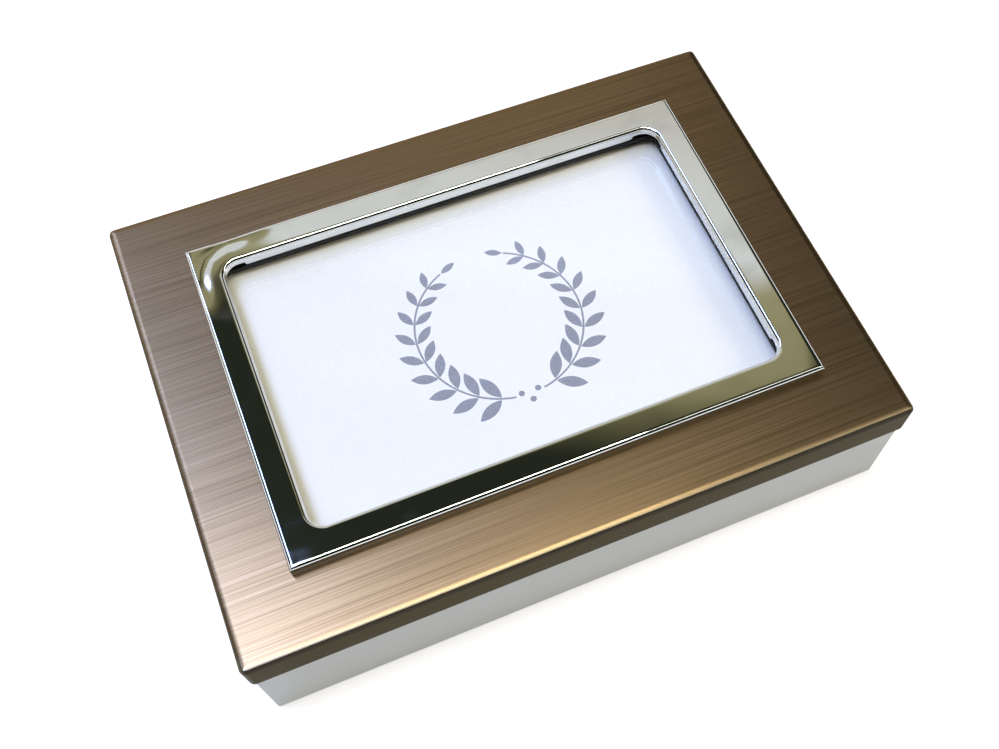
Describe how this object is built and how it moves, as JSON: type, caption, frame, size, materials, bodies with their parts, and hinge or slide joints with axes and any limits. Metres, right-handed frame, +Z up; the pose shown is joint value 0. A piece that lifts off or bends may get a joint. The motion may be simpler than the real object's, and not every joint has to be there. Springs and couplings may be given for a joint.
{
  "type": "keepsake box",
  "caption": "Low rectangular keepsake box with a hinged, metal-covered lid that holds a picture behind glass in a raised polished frame.",
  "frame": {"origin": "centre of the felt's underside, on the surface that the box stands on", "axes": "+X along the long side, to the right as seen from the front; +Y towards the hinges at the back; +Z up"},
  "size_m": [0.205, 0.152, 0.052],
  "materials": {
    "white_lacquer": "satin white lacquer on fibreboard",
    "bare_board": "bare hardboard",
    "dark_board": "black-stained fibreboard",
    "brushed_bronze": "bronze-coloured sheet, brushed along its length",
    "polished_chrome": "mirror-polished plate",
    "clear_glass": "clear float glass",
    "picture_paper": "white card with a grey print",
    "ivory_velvet": "short-pile velvet on card",
    "base_felt": "pressed felt",
    "foam": "closed-cell foam",
    "hinge_brass": "plated brass"
  },
  "bodies": {
    "box": {"back_lining": "ivory_velvet", "back_wall": "white_lacquer", "base_felt": "base_felt", "base_hinge_screws": "hinge_brass", "bottom_panel": "bare_board", "floor_lining": "ivory_velvet", "front_lining": "ivory_velvet", "front_wall": "white_lacquer", "hinge_base_leaf_left": "hinge_brass", "hinge_base_leaf_right": "hinge_brass", "hinge_pin_left": "hinge_brass", "hinge_pin_right": "hinge_brass", "left_lining": "ivory_velvet", "left_wall": "white_lacquer", "right_lining": "ivory_velvet", "right_wall": "white_lacquer"},
    "lid": {"backing_board": "ivory_velvet", "frame_foam_strips": "foam", "glass_pane": "clear_glass", "hinge_lid_leaf_left": "hinge_brass", "hinge_lid_leaf_right": "hinge_brass", "lid_back_rail": "white_lacquer", "lid_board": "dark_board", "lid_cover": "brushed_bronze", "lid_front_rail": "white_lacquer", "lid_hinge_screws": "hinge_brass", "lid_left_rail": "white_lacquer", "lid_lining_frame": "ivory_velvet", "lid_right_rail": "white_lacquer", "picture_card": "picture_paper", "picture_frame": "polished_chrome", "turn_button_screws": "hinge_brass"},
    "button_front": {"turn_button_front": "hinge_brass"},
    "button_back": {"turn_button_back": "hinge_brass"},
    "button_left": {"turn_button_left": "hinge_brass"},
    "button_right": {"turn_button_right": "hinge_brass"}
  },
  "joints": [
    {"name": "lid_hinge", "type": "hinge", "parent": "box", "child": "lid", "pos_m": [0, 0.072, 0.035], "axis": [-1, 0, 0], "range_deg": [0, 95]},
    {"name": "front_button_turn", "type": "hinge", "parent": "lid", "child": "button_front", "pos_m": [0, -0.0566, 0.0352], "axis": [0, 0, 1], "range_deg": [-90, 90]},
    {"name": "back_button_turn", "type": "hinge", "parent": "lid", "child": "button_back", "pos_m": [0, 0.0566, 0.0352], "axis": [0, 0, 1], "range_deg": [-90, 90]},
    {"name": "left_button_turn", "type": "hinge", "parent": "lid", "child": "button_left", "pos_m": [-0.0824, 0, 0.0352], "axis": [0, 0, 1], "range_deg": [-90, 90]},
    {"name": "right_button_turn", "type": "hinge", "parent": "lid", "child": "button_right", "pos_m": [0.0824, 0, 0.0352], "axis": [0, 0, 1], "range_deg": [-90, 90]}
  ]
}
